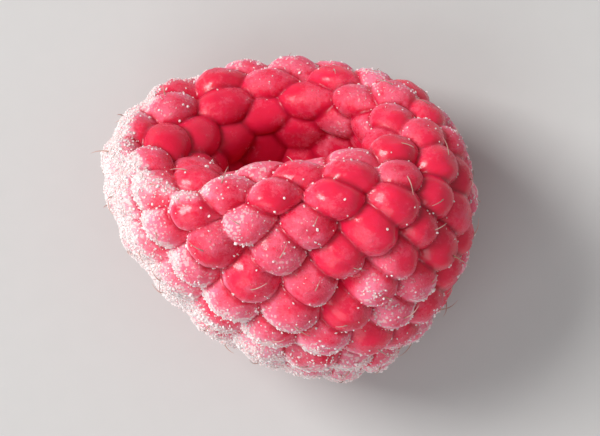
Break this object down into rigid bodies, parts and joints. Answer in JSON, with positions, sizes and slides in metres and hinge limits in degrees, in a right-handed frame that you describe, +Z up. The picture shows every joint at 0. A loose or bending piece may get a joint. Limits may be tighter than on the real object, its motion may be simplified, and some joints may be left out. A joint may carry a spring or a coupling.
{
  "type": "raspberry",
  "caption": "Picked red raspberry lying on its side, with rounded drupelets all over and an open hollow where its core was.",
  "frame": {"origin": "on the surface that the fruit rests on, under the centre of its bounding box in plan", "axes": "+Z up; +Y is the way that the mouth of the hollow faces, seen from above; the tip points to -Y"},
  "size_m": [0.0212, 0.0204, 0.0178],
  "materials": {
    "flesh": "frosted red berry skin, softly glossy where the frost is thin",
    "frost": "white ice grains that freezing left on the skin",
    "style": "the dry brown thread that a drupelet keeps from its flower"
  },
  "bodies": {
    "root": {"raspberry": "flesh"}
  },
  "joints": []
}
